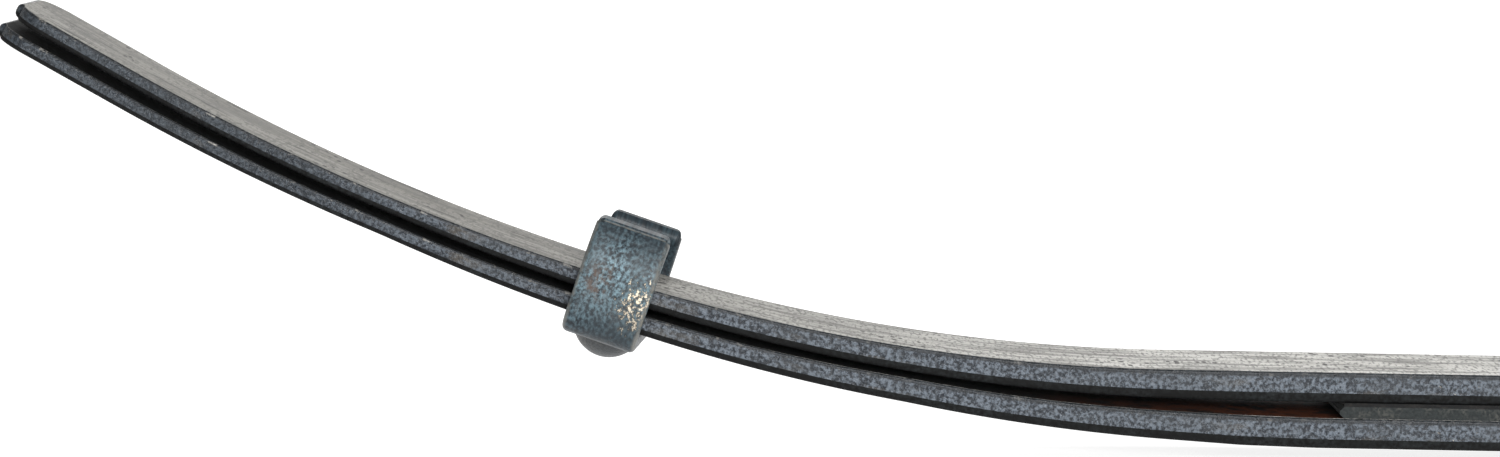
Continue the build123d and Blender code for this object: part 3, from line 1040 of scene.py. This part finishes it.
@dataclass
class ReboundClip:
    """A strap bent up round both leaves, and the rivet that holds it to the lower one."""

    camber: Camber
    bar: BarTree
    leaf_width: float = 70 * MM
    station: float = 437 * MM
    strap_width: float = 36 * MM
    strap_thickness: float = 9 * MM
    strap_round: float = 2.8 * MM
    side_clearance: float = 2.5 * MM
    base_clearance: float = 0.1 * MM
    bend_inner: float = 3.5 * MM
    curl_radius: float = 44 * MM
    front_curl: float = 33.0
    rear_curl: float = 27.0
    skew: float = 4.0
    end_corner: float = 1.6 * MM
    end_round: float = 1.2 * MM
    rivet_head_radius: float = 16 * MM
    rivet_head_height: float = 11 * MM
    rivet_radius: float = 6 * MM

    def place(self) -> Matrix:
        """The right clip's frame, on the lower leaf's underside with Z square to it."""
        at = self.camber.point(self.station, Level.LOWER, 1.0)
        before = self.camber.point(self.station - MM, Level.LOWER, 1.0)
        after = self.camber.point(self.station + MM, Level.LOWER, 1.0)
        slope = math.atan2(after.z - before.z, after.x - before.x)
        return Matrix.Translation(at) @ Matrix.Rotation(-slope, 4, "Y")

    def arm_line(self, curl: float, way: int) -> list[Vector]:
        """The strap's middle line from the rivet up one arm, in the clip's Y and Z.

        Args:
            curl: How far the arm's end leans in, in degrees.
            way: 1 for the rear arm and -1 for the front one.

        Returns:
            The line's points.
        """
        bend = self.bend_inner + self.strap_thickness / 2
        arm_y = self.leaf_width / 2 + self.side_clearance + self.strap_thickness / 2
        base_z = -self.base_clearance - self.strap_thickness / 2
        stack = 2 * self.camber.thickness(self.station) + self.camber.gap(self.station)
        points = [(0.0, base_z), (0.5 * (arm_y - bend), base_z)]
        points += corner((arm_y - bend, base_z + bend), (bend, bend), -90, 14)
        steps = 24
        for i in range(steps + 1):
            angle = math.radians(curl * i / steps)
            y = arm_y - self.curl_radius * (1 - math.cos(angle))
            points.append((y, stack + self.curl_radius * math.sin(angle)))
        return [Vector((0, way * y, z)) for y, z in points]

    def strap(self, side: Side, material: bpy.types.Material) -> bpy.types.Object:
        """The strap of one clip."""
        outline = bar_section(self.strap_width, self.strap_thickness, (self.strap_round,) * 2,
                              (self.strap_round,) * 2, 0.1 * MM)
        section = MeshMaker.wire("section", [Vector((x, y, 0)) for x, y in outline], closed=True)
        front = self.arm_line(self.front_curl, -1)
        rear = self.arm_line(self.rear_curl, 1)
        middle = front[::-1] + rear[1:]
        trim = self.end_round
        middle[0] = middle[0] + (middle[1] - middle[0]).normalized() * trim
        middle[-1] = middle[-1] + (middle[-2] - middle[-1]).normalized() * trim
        line = MeshMaker.wire("line", middle)
        mesh = self.bar.apply(line, {
            "Root Section": section, "Tip Section": section, "Rows": 150, "Points Around": len(outline),
            "Across": (1.0, 0.0, 0.0), "Width": self.strap_width,
            "Root Thickness": self.strap_thickness, "Tip Thickness": self.strap_thickness,
            "Taper Start": 0.0, "Taper End": 1.0, "Start Corner": self.end_corner,
            "End Corner": self.end_corner, "End Round": self.end_round, "Waviness": 0.4 * MM,
            "Pattern Shift": 0.0 if side is Side.LEFT else CLIP_SHIFT, "Top Covered": False,
            "Material": material, "Shade Material": material, "Shade From": -2.0,
        })
        bpy.data.objects.remove(section)
        place = side.mirror() @ self.place() @ Matrix.Rotation(math.radians(self.skew), 4, "Z")
        return MeshMaker.piece(f"rebound_clip_{side.word}", mesh, place)

    def rivet(self, side: Side, material: bpy.types.Material) -> bpy.types.Object:
        """The domed rivet of one clip."""
        top = -self.base_clearance - self.strap_thickness
        height, radius = self.rivet_head_height, self.rivet_head_radius
        ball = (radius**2 + height**2) / (2 * height)
        reach = math.asin(min(1.0, radius / ball)) if height < ball else math.pi / 2
        profile = [(0.0, top - height)]
        steps = 14
        for i in range(1, steps + 1):
            angle = reach * i / steps
            profile.append((ball * math.sin(angle), top - height + ball * (1 - math.cos(angle))))
        profile += [(radius, top - 0.2 * MM), (radius - 0.6 * MM, top), (self.rivet_radius, top)]
        shank_top = self.camber.thickness(self.station) - 0.5 * MM
        profile += [(self.rivet_radius, shank_top), (0.0, shank_top)]
        mesh = MeshMaker.lathe(profile, 56)
        mesh.materials.append(material)
        return MeshMaker.piece(f"clip_rivet_{side.word}_dome", mesh, side.mirror() @ self.place())

    def build(self) -> list[bpy.types.Object]:
        """Makes both clips, which ride on the lower arms."""
        paint = ClipPaint().make()
        rivet_paint = HardwarePaint("rivet_paint", rgb(0.035, 0.040, 0.044), rgb(0.10, 0.095, 0.085)).make()
        made = []
        for side in Side:
            strap, rivet = self.strap(side, paint), self.rivet(side, rivet_paint)
            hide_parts(f"clip_strap_{side.word}")
            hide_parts(f"clip_rivet_{side.word}")
            for piece in (strap, rivet):
                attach(piece, f"{side.word}_lower_arm")
                made.append(piece)
        return made


@dataclass
class CentrePack:
    """The spacer, its liner, and the bolt and nut through the seat."""

    camber: Camber
    bolt_radius: float = 6 * MM
    head_radius: float = 10 * MM
    thread_pitch: float = 1.75 * MM
    ridge_share: float = 0.42

    def bolt(self, material: bpy.types.Material) -> bpy.types.Object:
        """The centre bolt, with the turned thread that stands out of the nut."""
        low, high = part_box("centre_bolt")
        nut_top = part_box("centre_nut")[1].z
        head_top = 0.5 * MM
        root = self.bolt_radius - self.ridge_share * self.thread_pitch
        profile = [
            (0.0, low.z + 0.4 * MM), (self.head_radius - 4 * MM, low.z + 0.4 * MM),
            (self.head_radius - 3.4 * MM, low.z), (self.head_radius - 1.6 * MM, low.z),
            (self.head_radius - 0.4 * MM, low.z + 0.5 * MM), (self.head_radius, low.z + 1.5 * MM),
            (self.head_radius, head_top - 0.3 * MM), (self.head_radius - 0.3 * MM, head_top),
            (self.bolt_radius, head_top), (self.bolt_radius, nut_top - 3 * MM), (root, nut_top - 3 * MM),
            (root, high.z - 0.6 * MM), (root - 0.6 * MM, high.z), (0.0, high.z),
        ]
        mesh = MeshMaker.lathe(profile, 64)
        mesh.materials.append(material)
        return MeshMaker.piece("centre_bolt_turned", mesh, Matrix.Identity(4))

    def thread(self, material: bpy.types.Material) -> bpy.types.Object:
        """The thread's ridges above the nut."""
        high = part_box("centre_bolt")[1].z
        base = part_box("centre_nut")[1].z - self.thread_pitch
        count = int((high - base - MM) / self.thread_pitch) + 1
        carrier = MeshMaker.wire("carrier", [Vector((0, 0, 0)), Vector((0, 0, MM))])
        ridge = self.ridge_share * self.thread_pitch
        mesh = RidgeTree().apply(carrier, {
            "Radius": self.bolt_radius - ridge, "Pitch": self.thread_pitch, "Ridge Radius": ridge,
            "Count": count, "Base Height": base, "Material": material,
        })
        return MeshMaker.piece("centre_bolt_thread", mesh, Matrix.Identity(4))

    def build(self) -> list[bpy.types.Object]:
        """Makes the bolt, and finishes the plates and the nut."""
        steel = HardwarePaint("bolt_paint", rgb(0.040, 0.044, 0.050), rgb(0.16, 0.15, 0.14), gloss=0.3).make()
        plate = HardwarePaint("spacer_paint", rgb(0.020, 0.024, 0.024), rgb(0.075, 0.074, 0.066),
                              grain=700.0, shine=0.12).make()
        sheet = HardwarePaint("liner_coat", rgb(0.008, 0.008, 0.008), rgb(0.030, 0.028, 0.026),
                              grain=600.0, gloss=0.45, shine=0.1).make()
        for node, finish in (("centre_spacer", plate), ("spacer_liner", sheet), ("centre_nut", steel)):
            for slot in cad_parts[node].material_slots:
                slot.material = finish
        bolt, thread = self.bolt(steel), self.thread(steel)
        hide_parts("centre_bolt")
        for piece in (bolt, thread):
            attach(piece, "centre")
        return [bolt, thread]


@dataclass
class Studio:
    """Pale floor, soft lights and the camera."""

    camera_at: tuple = (-0.3746, -1.8121, 0.28756)
    yaw: float = 0.0017
    pitch: float = -0.1057
    roll: float = 0.0178
    focal_share: float = 3837.3 / 1500
    sensor: float = 36.0
    floor_reach: float = 40.0
    sky_tone: float = 0.34
    sun_from: tuple = (-0.2, 1.0, 1.25)
    sun_strength: float = 1.1
    sun_softness: float = 20.0

    def camera(self) -> None:
        """A level view along the spring's front edge, with a slight roll."""
        data = bpy.data.cameras.new("camera")
        data.sensor_width = self.sensor
        data.lens = self.focal_share * self.sensor
        data.clip_end = 200
        made = bpy.data.objects.new("camera", data)
        ahead = Vector((-math.sin(self.yaw) * math.cos(self.pitch),
                        math.cos(self.yaw) * math.cos(self.pitch), math.sin(self.pitch)))
        right = Vector((math.cos(self.yaw), math.sin(self.yaw), 0))
        up = right.cross(ahead)
        turned = right * math.cos(self.roll) + up * math.sin(self.roll)
        up = up * math.cos(self.roll) - right * math.sin(self.roll)
        axes = Matrix((turned, up, -ahead)).transposed().to_4x4()
        made.matrix_world = Matrix.Translation(self.camera_at) @ axes
        bpy.context.scene.collection.objects.link(made)
        bpy.context.scene.camera = made

    def floor(self) -> None:
        """The sheet under the spring."""
        low = CAD_BOX[0].z
        reach = self.floor_reach
        mesh = bpy.data.meshes.new("floor")
        corners = [(x * reach, y * reach, low) for x, y in ((-1, -1), (1, -1), (1, 1), (-1, 1))]
        mesh.from_pydata(corners, [], [(0, 1, 2, 3)])
        mesh.materials.append(StudioFloor().make())
        made = bpy.data.objects.new("floor", mesh)
        bpy.context.scene.collection.objects.link(made)

    def lamp(self, name: str, at: tuple, target: tuple, size: tuple, power: float) -> None:
        """One rectangular soft light.

        Args:
            name: Its name.
            at: Where it stands.
            target: What it points at.
            size: Its width and height.
            power: Its power in watts.
        """
        data = bpy.data.lights.new(name, "AREA")
        data.shape = "RECTANGLE"
        data.size, data.size_y = size
        data.energy = power
        made = bpy.data.objects.new(name, data)
        made.location = at
        made.rotation_euler = (Vector(target) - Vector(at)).to_track_quat("-Z", "Y").to_euler()
        made.visible_camera = False
        bpy.context.scene.collection.objects.link(made)

    def sun(self, towards: tuple, strength: float, softness: float) -> None:
        """Even light over the whole sheet, from behind so that its shadows fall towards the viewer.

        Args:
            towards: Direction that it comes from.
            strength: Its strength in watts per square metre.
            softness: Its width in degrees.
        """
        data = bpy.data.lights.new("overhead", "SUN")
        data.energy = strength
        data.angle = math.radians(softness)
        made = bpy.data.objects.new("overhead", data)
        made.rotation_euler = Vector(towards).to_track_quat("Z", "Y").to_euler()
        bpy.context.scene.collection.objects.link(made)

    def sky(self, tone: float) -> None:
        """An even pale surround."""
        world = bpy.data.worlds.new("surround")
        world.use_nodes = True
        background = world.node_tree.nodes["Background"]
        background.inputs["Color"].default_value = (1.0, 1.0, 1.0, 1.0)
        background.inputs["Strength"].default_value = tone
        bpy.context.scene.world = world

    def build(self) -> None:
        """Sets up everything round the spring."""
        self.camera()
        self.floor()
        self.sky(self.sky_tone)
        self.sun(self.sun_from, self.sun_strength, self.sun_softness)
        self.lamp("key", (0.1, -2.2, 0.62), (-0.3, 0, 0.05), (1.5, 0.45), 52)
        self.lamp("side", (1.9, -1.2, 0.9), (-0.2, 0, 0.05), (0.9, 0.9), 10)
        self.lamp("rear", (-0.4, 2.6, 1.0), (-0.4, 0, 0.05), (3.2, 1.0), 14)
        bpy.context.scene.view_settings.view_transform = "Standard"


def main() -> None:
    """Builds the spring piece by piece, then the studio."""
    logging.basicConfig(level=logging.INFO, format="%(name)s: %(message)s")
    camber, bar = Camber(), BarTree()
    for part in (LeafPack(camber, bar), ReboundClip(camber, bar), CentrePack(camber)):
        for piece in part.build():
            LOG.info("%s: %d faces", piece.name, len(piece.data.polygons))
    Studio().build()


if __name__ == "__main__":
    main()
